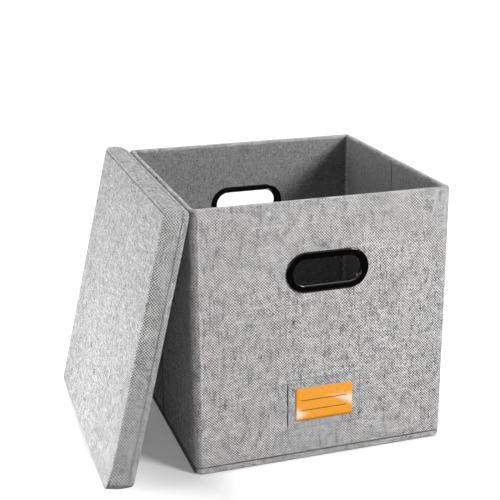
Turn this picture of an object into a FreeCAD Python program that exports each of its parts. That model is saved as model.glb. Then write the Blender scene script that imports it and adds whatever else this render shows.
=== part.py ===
import FreeCAD, Part
import math
import os
import Sketcher
from FreeCAD import Placement, Rotation, Vector

# A cloth-covered carrying case that folds flat, with a lift-off lid leaning on its left side
# Millimetres, +Z up, origin on the floor at the middle of the case; the front faces -Y

# Driving sizes: name, value, what it measures
SIZES = [
    ("case_width", 335.0, "outer width of the case, left to right"),
    ("case_depth", 331.0, "outer depth of the case, front to back"),
    ("case_height", 342.0, "height of the rim above the floor"),
    ("cover_cloth", 1.2, "outer linen cover"),
    ("wall_board", 4.0, "stiffening board inside a wall"),
    ("lining_cloth", 1.3, "lining on the inside of a wall"),
    ("corner_round", 5.0, "outer rounding of the upright corners"),
    ("rim_round", 1.1, "rounding along the top edge of a wall"),
    ("hem_height", 9.0, "height of the sewn hem round the foot"),
    ("hem_seam", 0.3, "seam between the hem and a wall"),
    ("base_cloth_thick", 1.5, "cloth that closes the bottom"),
    ("base_board_thick", 3.0, "board of the loose bottom panel"),
    ("base_lining_thick", 1.0, "cloth wrapped over the bottom panel"),
    ("base_clearance", 1.0, "room beside the bottom panel"),
    ("base_running_gap", 0.6, "room between the raised bottom panel and the back snap ring"),
    ("fold_clearance", 1.8, "room between a folded side and the raised bottom panel"),
    ("strip_clearance", 0.3, "room between a corner strip and the side that turns beside it"),
    ("crease_gap", 1.0, "room between the two halves of a side"),
    ("crease_cloth", 0.8, "cloth strip over the crease"),
    ("crease_strip_width", 10.0, "width of the cloth strip over the crease"),
    ("grip_length", 108.0, "length of the oval handle ring"),
    ("grip_height", 52.0, "height of the oval handle ring"),
    ("slot_length", 92.0, "length of the finger slot"),
    ("slot_height", 36.0, "height of the finger slot"),
    ("sleeve_wall", 1.6, "wall of the tube that lines the slot"),
    ("sleeve_clearance", 0.3, "room round the tube in the wall and in the snap ring"),
    ("flange_thick", 2.4, "thickness of the handle ring's flange"),
    ("flange_bevel", 1.3, "bevel round the outer edge of the flange"),
    ("flange_crown", 0.7, "shallower bevel between the first one and the flange's face"),
    ("flange_lip", 0.8, "bevel of the flange at the finger slot"),
    ("snap_ring_thick", 1.6, "thickness of the ring inside the wall"),
    ("snap_ring_bevel", 0.6, "bevel round the ring inside the wall"),
    ("snap_lead", 0.5, "chamfer that leads the snap ring over the tube"),
    ("grip_drop", 91.0, "from the rim down to the middle of the handle"),
    ("grip_shift", 4.0, "handle's middle right of the case's middle"),
    ("pocket_width", 99.0, "width of the clear label pocket"),
    ("pocket_height", 68.0, "height of the clear label pocket"),
    ("pocket_foot", 43.5, "height of the label pocket's lower edge"),
    ("pocket_shift", 1.5, "label pocket's middle right of the case's middle"),
    ("pocket_film", 0.4, "thickness of the clear film"),
    ("pocket_round", 2.0, "rounded corners of the film"),
    ("pocket_weld", 9.8, "film under the card, welded flat"),
    ("card_width", 77.0, "width of the label card"),
    ("card_height", 45.0, "height of the label card"),
    ("card_thick", 0.5, "thickness of the label card"),
    ("card_clearance", 0.3, "room round the card in its pocket"),
    ("card_round", 1.5, "rounded corners of the card"),
    ("lid_clearance", 2.8, "room between the lid's skirt and the case on each side"),
    ("lid_height", 31.0, "depth of the lid from its top to its rim"),
    ("lid_cloth", 1.2, "linen cover of the lid"),
    ("lid_top_thick", 3.0, "board in the lid's top"),
    ("lid_skirt_thick", 2.5, "board in the lid's skirt"),
    ("lid_lining", 1.0, "lining inside the lid"),
    ("lid_corner_round", 9.0, "outer rounding of the lid's upright corners"),
    ("lid_edge_round", 3.0, "outer rounding along the lid's top edge"),
    ("lid_foot", 80.2, "from the case's left side to the foot of the leaning lid"),
    ("lean_gap", 0.3, "room between the leaning lid and the case"),
    ("cut_overrun", 1.0, "how far a cut runs past the face it opens"),
]

# Sizes that follow from the driving sizes
WALL = "(Sizes.cover_cloth + Sizes.wall_board + Sizes.lining_cloth)"
OUT_X = "(Sizes.case_width / 2)"
OUT_Y = "(Sizes.case_depth / 2)"
IN_X = f"({OUT_X} - {WALL})"
IN_Y = f"({OUT_Y} - {WALL})"
WALL_FOOT = "(Sizes.hem_height + Sizes.hem_seam)"
BASE_STACK = "(Sizes.base_board_thick + Sizes.base_lining_thick)"
FLIP_Y = f"({IN_Y} - Sizes.snap_ring_thick - Sizes.base_running_gap)"
FOLD_Y = f"({FLIP_Y} - {BASE_STACK} - Sizes.fold_clearance)"
WALL_TOP = "(Sizes.case_height - Sizes.cover_cloth)"
GRIP_Z = "(Sizes.case_height - Sizes.grip_drop)"
SLOT_R = "(Sizes.slot_height / 2)"
SLOT_C = f"(Sizes.slot_length / 2 - {SLOT_R})"
CARD_FOOT = "(Sizes.pocket_foot + Sizes.pocket_weld)"
CARD_BAY = "(Sizes.card_thick + Sizes.card_clearance)"
LID_WALL = "(Sizes.lid_cloth + Sizes.lid_skirt_thick + Sizes.lid_lining)"
LID_UNDER_BOARD = "(Sizes.lid_height - Sizes.lid_cloth - Sizes.lid_top_thick)"
LID_X = f"({OUT_X} + Sizes.lid_clearance + {LID_WALL})"
LID_Y = f"({OUT_Y} + Sizes.lid_clearance + {LID_WALL})"

QUARTER = math.pi / 2
TINY = 1e-4

doc = FreeCAD.newDocument("carrying_case")
pieces = []


def write_sheet():
    """Put each driving size in a row: its name, its value with that name as alias, what it measures."""
    sheet = doc.addObject("Spreadsheet::Sheet", "Sizes")
    for row, (name, size, meaning) in enumerate(SIZES, start=1):
        sheet.set(f"A{row}", name)
        sheet.set(f"B{row}", str(size))
        sheet.setAlias(f"B{row}", name)
        sheet.set(f"C{row}", meaning)
    doc.recompute()
    return sheet


def size_of(formula):
    """The number that a formula over the sheet gives."""
    return float(sizes.evalExpression(formula))


def new_piece(name):
    """A named body, listed for writing."""
    body = doc.addObject("PartDesign::Body", name)
    body.Label = name
    pieces.append(body)
    return body


def sketch_on(body, role, offset):
    """A sketch on one of the body's own planes, moved along the plane's normal by offset."""
    plane = next(item for item in body.Origin.OriginFeatures if item.Role == role)
    sketch = body.newObject("Sketcher::SketchObject", f"{body.Label}_sketch")
    sketch.AttachmentSupport = (plane, [""])
    sketch.MapMode = "FlatFace"
    sketch.setExpression("AttachmentOffset.Base.z", offset)
    return sketch


def hold(sketch, kind, places, formula):
    """Add a dimension that follows a formula."""
    index = sketch.addConstraint(Sketcher.Constraint(kind, *places, size_of(formula)))
    sketch.setExpression(f"Constraints[{index}]", formula)


def outline(sketch, corners):
    """A closed run of straight lines through corners given as pairs of formulas."""
    first = sketch.GeometryCount
    points = [Vector(size_of(x), size_of(y), 0) for x, y in corners]
    count = len(points)
    for i in range(count):
        sketch.addGeometry(Part.LineSegment(points[i], points[(i + 1) % count]))
    for i, (x, y) in enumerate(corners):
        line = first + i
        sketch.addConstraint(Sketcher.Constraint("Coincident", line, 2, first + (i + 1) % count, 1))
        hold(sketch, "DistanceX", (-1, 1, line, 1), x)
        hold(sketch, "DistanceY", (-1, 1, line, 1), y)


def rectangle(sketch, low_x, high_x, low_y, high_y):
    outline(sketch, [(low_x, low_y), (high_x, low_y), (high_x, high_y), (low_x, high_y)])


def oval(sketch, mid_x, mid_y, reach, radius):
    """A slot outline: two half circles, each reach from the middle, joined by straight lines."""
    top = sketch.GeometryCount
    right, foot, left = top + 1, top + 2, top + 3
    x, y, c, r = size_of(mid_x), size_of(mid_y), size_of(reach), size_of(radius)
    up = Vector(0, 0, 1)
    right_circle = Part.Circle(Vector(x + c, y, 0), up, r)
    left_circle = Part.Circle(Vector(x - c, y, 0), up, r)
    sketch.addGeometry(Part.LineSegment(Vector(x - c, y + r, 0), Vector(x + c, y + r, 0)))
    sketch.addGeometry(Part.ArcOfCircle(right_circle, -QUARTER, QUARTER))
    sketch.addGeometry(Part.LineSegment(Vector(x + c, y - r, 0), Vector(x - c, y - r, 0)))
    sketch.addGeometry(Part.ArcOfCircle(left_circle, QUARTER, math.pi + QUARTER))
    sketch.addConstraint(Sketcher.Constraint("Tangent", top, 2, right, 2))
    sketch.addConstraint(Sketcher.Constraint("Tangent", right, 1, foot, 1))
    sketch.addConstraint(Sketcher.Constraint("Tangent", foot, 2, left, 2))
    sketch.addConstraint(Sketcher.Constraint("Tangent", left, 1, top, 1))
    sketch.addConstraint(Sketcher.Constraint("Equal", right, left))
    sketch.addConstraint(Sketcher.Constraint("Horizontal", top))
    hold(sketch, "DistanceX", (-1, 1, right, 3), f"{mid_x} + {reach}")
    hold(sketch, "DistanceX", (-1, 1, left, 3), f"{mid_x} - {reach}")
    hold(sketch, "DistanceY", (-1, 1, right, 3), mid_y)
    hold(sketch, "Radius", (right,), radius)


def pad(body, sketch, length, backwards=False):
    feature = body.newObject("PartDesign::Pad", f"{body.Label}_pad")
    feature.Profile = sketch
    feature.setExpression("Length", length)
    feature.Reversed = backwards
    sketch.Visibility = False
    doc.recompute()
    return feature


def cut(body, sketch, length, forwards=False):
    """A pocket that has to take material away; forwards is along the sketch's normal."""
    before = body.Shape.Volume
    feature = body.newObject("PartDesign::Pocket", f"{body.Label}_cut")
    feature.Profile = sketch
    feature.setExpression("Length", length)
    feature.Reversed = forwards
    sketch.Visibility = False
    doc.recompute()
    if feature.Shape.isNull() or body.Shape.Volume > before - TINY:
        raise ValueError(f"{body.Label}: a cut took nothing away")
    return feature


def edges_where(feature, test):
    """Names of the feature's edges whose box passes a test."""
    shape = feature.Shape
    return [f"Edge{i}" for i, edge in enumerate(shape.Edges, start=1) if test(edge.BoundBox)]


def same(a, b):
    return abs(a - b) < TINY


def finish_edges(body, feature, test, formula, kind="Fillet"):
    """Round or chamfer the edges that pass the test, by a size that follows a formula."""
    names = edges_where(feature, test)
    if not names:
        raise ValueError(f"{body.Label}: no edge to finish")
    done = body.newObject(f"PartDesign::{kind}", f"{body.Label}_{kind.lower()}")
    done.Base = (feature, names)
    done.setExpression("Radius" if kind == "Fillet" else "Size", formula)
    doc.recompute()
    return done


def slab(name, low_x, high_x, low_y, high_y, low_z, high_z):
    """A flat piece with square edges."""
    body = new_piece(name)
    sketch = sketch_on(body, "XY_Plane", low_z)
    rectangle(sketch, low_x, high_x, low_y, high_y)
    pad(body, sketch, f"{high_z} - {low_z}")
    return body


def rounded_rectangle(sketch, half_x, half_y, radius):
    """A rectangle about the middle whose corners are quarter circles."""
    first = sketch.GeometryCount
    hx, hy, r = size_of(half_x), size_of(half_y), size_of(radius)
    x, y = hx - r, hy - r
    up = Vector(0, 0, 1)
    quarters = [(x, y), (-x, y), (-x, -y), (x, -y)]
    for turn, (cx, cy) in enumerate(quarters):
        circle = Part.Circle(Vector(cx, cy, 0), up, r)
        sketch.addGeometry(Part.ArcOfCircle(circle, turn * QUARTER, (turn + 1) * QUARTER))
    ends = [((x, hy), (-x, hy)), ((-hx, y), (-hx, -y)), ((-x, -hy), (x, -hy)), ((hx, -y), (hx, y))]
    for (x0, y0), (x1, y1) in ends:
        sketch.addGeometry(Part.LineSegment(Vector(x0, y0, 0), Vector(x1, y1, 0)))
    for turn in range(len(quarters)):
        arc, side, after = first + turn, first + 4 + turn, first + (turn + 1) % 4
        sketch.addConstraint(Sketcher.Constraint("Tangent", arc, 2, side, 1))
        sketch.addConstraint(Sketcher.Constraint("Tangent", side, 2, after, 1))
        if turn:
            sketch.addConstraint(Sketcher.Constraint("Equal", first, arc))
    hold(sketch, "Radius", (first,), radius)
    signs = [("", ""), ("-", ""), ("-", "-"), ("", "-")]
    for turn, (sign_x, sign_y) in enumerate(signs):
        hold(sketch, "DistanceX", (-1, 1, first + turn, 3), f"{sign_x}({half_x} - {radius})")
        hold(sketch, "DistanceY", (-1, 1, first + turn, 3), f"{sign_y}({half_y} - {radius})")


def at_height(level):
    """A test for edges that lie flat at one height."""
    return lambda box: same(box.ZMin, level) and same(box.ZMax, level)


def upright_at(half_x, *levels_y):
    """A test for upright edges that stand half_x left or right of the middle, at one of the levels."""
    half, levels = size_of(half_x), [size_of(level) for level in levels_y]
    return lambda box: (
        same(box.XMin, box.XMax) and same(box.YMin, box.YMax)
        and same(abs(box.XMin), half) and any(same(box.YMin, level) for level in levels)
    )


def cut_for_handle(body, sign):
    """Open a front or back piece for the tube that lines the finger slot."""
    sketch = sketch_on(body, "XZ_Plane", "0")
    radius = f"({SLOT_R} + Sizes.sleeve_wall + Sizes.sleeve_clearance)"
    oval(sketch, "Sizes.grip_shift", GRIP_Z, SLOT_C, radius)
    cut(body, sketch, f"{OUT_Y} + Sizes.cut_overrun", forwards=sign < 0)


def end_wall(side, sign):
    """Front or back wall: a cover wrapped over the board's ends and top, the board and the lining.

    The board's outer upright edges are rounded, so that the cloth turns the corner softly.
    """
    outer = f"({sign} * {OUT_Y})"
    skin = f"({sign} * ({OUT_Y} - Sizes.cover_cloth))"
    core = f"({sign} * ({OUT_Y} - Sizes.cover_cloth - Sizes.wall_board))"
    inner = f"({sign} * {IN_Y})"
    past = f"({sign} * ({IN_Y} - Sizes.cut_overrun))"
    end = f"({OUT_X} - Sizes.cover_cloth)"
    bay_round = "(Sizes.corner_round - Sizes.cover_cloth)"

    cover = new_piece(f"{side}_cover")
    sketch = sketch_on(cover, "XY_Plane", WALL_FOOT)
    rectangle(sketch, f"-{OUT_X}", OUT_X, outer, inner)
    pad(cover, sketch, f"Sizes.case_height - {WALL_FOOT}")
    sketch = sketch_on(cover, "XY_Plane", WALL_FOOT)
    rectangle(sketch, f"-{end}", end, skin, past)
    feature = cut(cover, sketch, f"{WALL_TOP} - {WALL_FOOT}", forwards=True)
    feature = finish_edges(cover, feature, upright_at(end, skin), bay_round)
    feature = finish_edges(cover, feature, upright_at(OUT_X, outer), "Sizes.corner_round")
    finish_edges(cover, feature, at_height(size_of("Sizes.case_height")), "Sizes.rim_round")

    board = slab(f"{side}_board", f"-{end}", end, skin, core, WALL_FOOT, WALL_TOP)
    finish_edges(board, board.Tip, upright_at(end, skin), bay_round)
    lining = slab(f"{side}_lining", f"-{end}", end, core, inner, WALL_FOOT, WALL_TOP)
    for body in (cover, board, lining):
        cut_for_handle(body, sign)


def side_half(side, sign_x, place, sign_y):
    """Half of a folding side, from its corner strip to the crease: cover, board and lining."""
    outer = f"({sign_x} * {OUT_X})"
    skin = f"({sign_x} * ({OUT_X} - Sizes.cover_cloth))"
    core = f"({sign_x} * ({OUT_X} - Sizes.cover_cloth - Sizes.wall_board))"
    inner = f"({sign_x} * {IN_X})"
    past = f"({sign_x} * ({IN_X} - Sizes.cut_overrun))"
    hinge = f"({sign_y} * {FOLD_Y})"
    crease = f"({sign_y} * Sizes.crease_gap / 2)"
    hinge_bay = f"({sign_y} * ({FOLD_Y} - Sizes.cover_cloth))"
    crease_bay = f"({sign_y} * (Sizes.crease_gap / 2 + Sizes.cover_cloth))"

    cover = new_piece(f"{side}_{place}_cover")
    sketch = sketch_on(cover, "XY_Plane", WALL_FOOT)
    rectangle(sketch, outer, inner, hinge, crease)
    feature = pad(cover, sketch, f"Sizes.case_height - {WALL_FOOT}")
    rim = at_height(size_of("Sizes.case_height"))
    finish_edges(cover, feature, lambda box: rim(box) and box.YLength > box.XLength, "Sizes.rim_round")
    sketch = sketch_on(cover, "XY_Plane", WALL_FOOT)
    rectangle(sketch, skin, past, hinge_bay, crease_bay)
    cut(cover, sketch, f"{WALL_TOP} - {WALL_FOOT}", forwards=True)

    slab(f"{side}_{place}_board", skin, core, hinge_bay, crease_bay, WALL_FOOT, WALL_TOP)
    slab(f"{side}_{place}_lining", core, inner, hinge_bay, crease_bay, WALL_FOOT, WALL_TOP)


def crease_strip(side, sign):
    """The cloth over the crease, on the side's inner face."""
    edge = f"({sign} * {IN_X})"
    proud = f"({sign} * ({IN_X} - Sizes.crease_cloth))"
    half = "(Sizes.crease_strip_width / 2)"
    slab(f"crease_strip_{side}", edge, proud, f"-{half}", half, WALL_FOOT, WALL_TOP)


def corner_strip(side, sign_x, place, sign_y):
    """The soft corner between an end wall and the side that folds beside it."""
    outer = f"({sign_x} * {OUT_X})"
    inner = f"({sign_x} * ({OUT_X} - Sizes.cover_cloth - Sizes.lining_cloth))"
    near = f"({sign_y} * {IN_Y})"
    far = f"({sign_y} * ({FOLD_Y} + Sizes.strip_clearance))"
    slab(f"corner_strip_{place}_{side}", outer, inner, near, far, WALL_FOOT, WALL_TOP)


def foot():
    """The hem round the foot, the cloth that closes it and the loose bottom panel."""
    hem = new_piece("hem_band")
    sketch = sketch_on(hem, "XY_Plane", "0")
    rectangle(sketch, f"-{OUT_X}", OUT_X, f"-{OUT_Y}", OUT_Y)
    rectangle(sketch, f"-{IN_X}", IN_X, f"-{IN_Y}", IN_Y)
    feature = pad(hem, sketch, "Sizes.hem_height")
    finish_edges(hem, feature, upright_at(OUT_X, f"-{OUT_Y}", OUT_Y), "Sizes.corner_round")
    slab("base_cloth", f"-{IN_X}", IN_X, f"-{IN_Y}", IN_Y, "0", "Sizes.base_cloth_thick")

    edge_x = f"({IN_X} - Sizes.base_clearance)"
    edge_y = f"({IN_Y} - Sizes.base_clearance)"
    fold = "Sizes.base_lining_thick"
    board_x = f"({edge_x} - {fold})"
    board_low = f"(-{edge_y} + {fold})"
    board_high = f"({FLIP_Y} - {fold})"
    floor = "Sizes.base_cloth_thick"
    board_top = f"({floor} + Sizes.base_board_thick)"
    wrap = new_piece("base_panel_cloth")
    sketch = sketch_on(wrap, "XY_Plane", floor)
    rectangle(sketch, f"-{edge_x}", edge_x, f"-{edge_y}", FLIP_Y)
    pad(wrap, sketch, BASE_STACK)
    sketch = sketch_on(wrap, "XY_Plane", floor)
    rectangle(sketch, f"-{board_x}", board_x, board_low, board_high)
    cut(wrap, sketch, "Sizes.base_board_thick", forwards=True)
    slab("base_panel_board", f"-{board_x}", board_x, board_low, board_high, floor, board_top)


def handle(place, sign):
    """The two-part oval handle: a ring crowned by two bevels, whose tube lines the slot, and the ring
    snapped onto that tube inside the wall."""
    out_r = "(Sizes.grip_height / 2)"
    out_c = f"(Sizes.grip_length / 2 - {out_r})"
    tube_r = f"({SLOT_R} + Sizes.sleeve_wall)"
    hole_r = f"({tube_r} + Sizes.sleeve_clearance)"
    shift = "Sizes.grip_shift"
    outer_plane = f"({-sign} * {OUT_Y})"
    inner_plane = f"({-sign} * {IN_Y})"
    is_back = sign > 0
    middle = size_of(GRIP_Z)

    def loop(formula, reach):
        """A test for the edges of an oval no taller than reach, in the upright plane at formula."""
        level, high = size_of(formula), size_of(reach)
        return lambda box: (
            same(box.YMin, level) and same(box.YMax, level)
            and box.ZMax < middle + high + TINY and box.ZMin > middle - high - TINY
        )

    ring = new_piece(f"handle_ring_{place}")
    sketch = sketch_on(ring, "XZ_Plane", outer_plane)
    oval(sketch, shift, GRIP_Z, out_c, out_r)
    oval(sketch, shift, GRIP_Z, SLOT_C, SLOT_R)
    feature = pad(ring, sketch, "Sizes.flange_thick", backwards=is_back)
    proud = f"{sign} * ({OUT_Y} + Sizes.flange_thick)"
    whole, slot = loop(proud, out_r), loop(proud, SLOT_R)
    brim = lambda box: whole(box) and not slot(box)
    for bevel in ("Sizes.flange_bevel", "Sizes.flange_crown"):
        feature = finish_edges(ring, feature, brim, bevel, kind="Chamfer")
    finish_edges(ring, feature, slot, "Sizes.flange_lip", kind="Chamfer")
    sketch = sketch_on(ring, "XZ_Plane", outer_plane)
    oval(sketch, shift, GRIP_Z, SLOT_C, tube_r)
    oval(sketch, shift, GRIP_Z, SLOT_C, SLOT_R)
    pad(ring, sketch, f"{WALL} + Sizes.snap_ring_thick", backwards=not is_back)

    snap = new_piece(f"handle_snap_ring_{place}")
    sketch = sketch_on(snap, "XZ_Plane", inner_plane)
    oval(sketch, shift, GRIP_Z, out_c, out_r)
    oval(sketch, shift, GRIP_Z, SLOT_C, hole_r)
    feature = pad(snap, sketch, "Sizes.snap_ring_thick", backwards=not is_back)
    inside = f"{sign} * ({IN_Y} - Sizes.snap_ring_thick)"
    whole, hole = loop(inside, out_r), loop(inside, hole_r)
    rim = lambda box: whole(box) and not hole(box)
    feature = finish_edges(snap, feature, rim, "Sizes.snap_ring_bevel", kind="Chamfer")
    finish_edges(snap, feature, loop(f"{sign} * {IN_Y}", hole_r), "Sizes.snap_lead", kind="Chamfer")


def through_edge(box):
    """Whether an edge runs straight through a thin upright sheet."""
    return box.YLength > TINY and box.XLength < TINY and box.ZLength < TINY


def label():
    """The clear pocket, open at the top, and the bare card that slides into it."""
    left = "(Sizes.pocket_shift - Sizes.pocket_width / 2)"
    right = "(Sizes.pocket_shift + Sizes.pocket_width / 2)"
    top = "(Sizes.pocket_foot + Sizes.pocket_height)"
    bay = "(Sizes.card_width / 2 + Sizes.card_clearance)"
    film = new_piece("label_pocket")
    sketch = sketch_on(film, "XZ_Plane", OUT_Y)
    rectangle(sketch, left, right, "Sizes.pocket_foot", top)
    feature = pad(film, sketch, f"{CARD_BAY} + Sizes.pocket_film")
    finish_edges(film, feature, through_edge, "Sizes.pocket_round")
    sketch = sketch_on(film, "XZ_Plane", OUT_Y)
    bay_left = f"(Sizes.pocket_shift - {bay})"
    bay_right = f"(Sizes.pocket_shift + {bay})"
    rectangle(sketch, bay_left, bay_right, CARD_FOOT, f"({top} + Sizes.cut_overrun)")
    cut(film, sketch, CARD_BAY, forwards=True)

    card_left = "(Sizes.pocket_shift - Sizes.card_width / 2)"
    card_right = "(Sizes.pocket_shift + Sizes.card_width / 2)"
    card = new_piece("label_card")
    sketch = sketch_on(card, "XZ_Plane", f"({OUT_Y} + Sizes.card_clearance / 2)")
    rectangle(sketch, card_left, card_right, CARD_FOOT, f"({CARD_FOOT} + Sizes.card_height)")
    feature = pad(card, sketch, "Sizes.card_thick")
    finish_edges(card, feature, through_edge, "Sizes.card_round")


def lean():
    """Where the lid stands: on the edge of its lower skirt, leaning on the case's left side.

    The head of the rim rests on the wall, or the skirt on the rim of a lower case, or the
    inside of the lid on the rim of one so low that its rim passes under the head of the skirt.
    """
    length = size_of(f"2 * {LID_X}")
    reach = size_of("Sizes.lid_foot - Sizes.lean_gap")
    height = size_of("Sizes.case_height")
    angle = math.asin(reach / length)
    if length * math.cos(angle) > height:
        angle = math.atan(reach / height)
        if height / math.cos(angle) < length - size_of(LID_WALL):
            depth = size_of(f"{LID_UNDER_BOARD} - Sizes.lid_lining + Sizes.lean_gap")
            angle += math.asin(depth / math.hypot(reach, height))
    foot_x = -size_of(f"{OUT_X} + Sizes.lid_foot")
    along = Vector(math.sin(angle), 0, math.cos(angle))
    middle = Vector(foot_x, 0, 0) + along * (length / 2)
    return Placement(middle, Rotation(Vector(0, 1, 0), math.degrees(angle - QUARTER)))


def lid_skirt_board(name, corners):
    """A straight strip of the skirt, its ends cut back to clear the rounded corners."""
    body = new_piece(name)
    sketch = sketch_on(body, "XY_Plane", "Sizes.lid_cloth")
    outline(sketch, corners)
    pad(body, sketch, f"{LID_UNDER_BOARD} - Sizes.lid_cloth")


def lid():
    """The lid as if closed on the origin, rim at zero and top up, then leaned against the case."""
    first = len(pieces)
    bay_x = f"({LID_X} - Sizes.lid_cloth)"
    bay_y = f"({LID_Y} - Sizes.lid_cloth)"
    bay_round = "(Sizes.lid_corner_round - Sizes.lid_cloth)"
    skirt_x = f"({bay_x} - Sizes.lid_skirt_thick)"
    skirt_y = f"({bay_y} - Sizes.lid_skirt_thick)"
    skirt_round = f"({bay_round} - Sizes.lid_skirt_thick)"
    in_x = f"({skirt_x} - Sizes.lid_lining)"
    in_y = f"({skirt_y} - Sizes.lid_lining)"
    in_round = f"({skirt_round} - Sizes.lid_lining)"

    cover = new_piece("lid_cover")
    sketch = sketch_on(cover, "XY_Plane", "0")
    rounded_rectangle(sketch, LID_X, LID_Y, "Sizes.lid_corner_round")
    feature = pad(cover, sketch, "Sizes.lid_height")
    finish_edges(cover, feature, at_height(size_of("Sizes.lid_height")), "Sizes.lid_edge_round")
    sketch = sketch_on(cover, "XY_Plane", "0")
    rounded_rectangle(sketch, bay_x, bay_y, bay_round)
    cut(cover, sketch, "Sizes.lid_height - Sizes.lid_cloth", forwards=True)

    board = new_piece("lid_top_board")
    sketch = sketch_on(board, "XY_Plane", LID_UNDER_BOARD)
    rounded_rectangle(sketch, bay_x, bay_y, bay_round)
    pad(board, sketch, "Sizes.lid_top_thick")

    lining = new_piece("lid_lining")
    sketch = sketch_on(lining, "XY_Plane", "0")
    rounded_rectangle(sketch, bay_x, bay_y, bay_round)
    pad(lining, sketch, "Sizes.lid_cloth")
    sketch = sketch_on(lining, "XY_Plane", "Sizes.lid_cloth")
    rounded_rectangle(sketch, skirt_x, skirt_y, skirt_round)
    pad(lining, sketch, f"{LID_UNDER_BOARD} - Sizes.lid_cloth")
    sketch = sketch_on(lining, "XY_Plane", "0")
    rounded_rectangle(sketch, in_x, in_y, in_round)
    cut(lining, sketch, f"{LID_UNDER_BOARD} - Sizes.lid_lining", forwards=True)

    end_x, end_y = f"({bay_x} - {bay_round})", f"({bay_y} - {bay_round})"
    tip_x, tip_y = f"({end_x} + Sizes.lid_skirt_thick)", f"({end_y} + Sizes.lid_skirt_thick)"
    for name, s in (("front", "-"), ("back", "")):
        outer, inner = f"{s}{bay_y}", f"{s}{skirt_y}"
        corners = [(f"-{end_x}", outer), (end_x, outer), (tip_x, inner), (f"-{tip_x}", inner)]
        lid_skirt_board(f"lid_skirt_board_{name}", corners)
    for name, s in (("foot", "-"), ("head", "")):
        outer, inner = f"{s}{bay_x}", f"{s}{skirt_x}"
        corners = [(outer, f"-{end_y}"), (outer, end_y), (inner, tip_y), (inner, f"-{tip_y}")]
        lid_skirt_board(f"lid_skirt_board_{name}", corners)

    place = lean()
    for body in pieces[first:]:
        body.Placement = place


def write_parts():
    """Stop on any failed feature or bad solid, then write each piece to its own file."""
    doc.recompute()
    for item in doc.Objects:
        if "Invalid" in item.State or "Error" in item.State:
            raise ValueError(f"{item.Label} failed: {item.State}")
    for body in pieces:
        shape = body.Shape
        if shape.isNull() or not shape.isValid() or len(shape.Solids) != 1:
            raise ValueError(f"{body.Label} is not one valid solid")
    os.makedirs("parts", exist_ok=True)
    for body in pieces:
        body.Shape.exportStep(f"parts/{body.Label}.step")


sizes = write_sheet()
foot()
for side, sign in (("front", -1), ("back", 1)):
    end_wall(side, sign)
    handle(side, sign)
for side, sign_x in (("left", -1), ("right", 1)):
    for place, sign_y in (("front", -1), ("rear", 1)):
        side_half(side, sign_x, place, sign_y)
    for place, sign_y in (("front", -1), ("back", 1)):
        corner_strip(side, sign_x, place, sign_y)
    crease_strip(side, sign_x)
label()
lid()
write_parts()
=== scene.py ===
import math

import bpy
import numpy as np
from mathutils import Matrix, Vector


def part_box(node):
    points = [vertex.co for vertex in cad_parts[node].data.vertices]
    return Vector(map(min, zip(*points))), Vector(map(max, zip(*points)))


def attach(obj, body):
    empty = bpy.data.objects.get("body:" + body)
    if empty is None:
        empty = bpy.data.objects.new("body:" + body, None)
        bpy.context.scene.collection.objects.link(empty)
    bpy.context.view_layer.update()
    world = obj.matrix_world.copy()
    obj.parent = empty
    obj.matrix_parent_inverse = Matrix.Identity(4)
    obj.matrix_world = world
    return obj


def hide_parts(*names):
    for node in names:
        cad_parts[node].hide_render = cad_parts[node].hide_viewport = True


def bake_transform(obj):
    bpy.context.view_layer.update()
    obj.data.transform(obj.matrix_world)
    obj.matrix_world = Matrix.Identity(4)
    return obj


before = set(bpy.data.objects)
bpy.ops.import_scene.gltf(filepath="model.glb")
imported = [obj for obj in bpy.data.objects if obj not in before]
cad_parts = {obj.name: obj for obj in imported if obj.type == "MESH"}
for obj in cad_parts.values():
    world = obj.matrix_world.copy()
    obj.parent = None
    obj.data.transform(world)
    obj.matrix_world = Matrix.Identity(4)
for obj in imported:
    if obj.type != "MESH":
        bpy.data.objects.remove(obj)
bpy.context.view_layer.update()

# Metres, in the frame of the solids: origin on the floor, +Z up, the front of the case faces -Y
MM = 0.001
QUARTER = math.pi / 2
WHITE = (1.0, 1.0, 1.0, 1.0)

# Sizes that the solids give
(_, wall_outside, WALL_FOOT), (HALF_X, wall_inside, RIM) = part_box("front_cover")
(_, side_end, _), (_, side_fold, _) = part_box("left_front_cover")
HALF_Y = -wall_outside
WALL = wall_inside - wall_outside
HEM_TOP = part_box("hem_band")[1][2]
FOLD_Y = -side_end
CREASE = -side_fold
CORNER_GAP = side_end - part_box("corner_strip_front_left")[1][1]

# Cloth over board: radii of its bends, and how far it turns in under the lining
CORNER_R = 7.0 * MM
RIM_R = 2.6 * MM
RIM_IN_R = 2.2 * MM
FOOT_R = 1.1 * MM
FOOT_IN_R = 0.6 * MM
END_R = 1.5 * MM
TURN_IN = 4.6 * MM
LINING_T = 0.9 * MM

# Small amounts: a softened edge, a little room, and the hair by which cloth stays in its solid
SOFT = 0.3 * MM
EASE = 0.5 * MM
HAIR = 0.1 * MM

# Spacing of the points on large faces, and the shortest and longest wave of cloth over board
STEP = 7.0 * MM
FINE_STEP = 5.0 * MM
WAVE = (0.045, 0.16)

# Yarns, and how high the relief of each finish stands
YARN = 1.85 * MM
LINING_YARN = 1.0 * MM
YARN_RISE = 0.3 * MM
FIBRE_RISE = 0.15 * MM
SMEAR_RISE = 0.02 * MM
FILM_RISE = 0.25 * MM
TOOTH_RISE = 0.03 * MM
TWIST_RISE = 0.08 * MM

# How far apart on the cloth two pieces are cut, so that their weave differs
SHIFT = 0.37
FACE_SHIFT = 0.53

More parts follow.
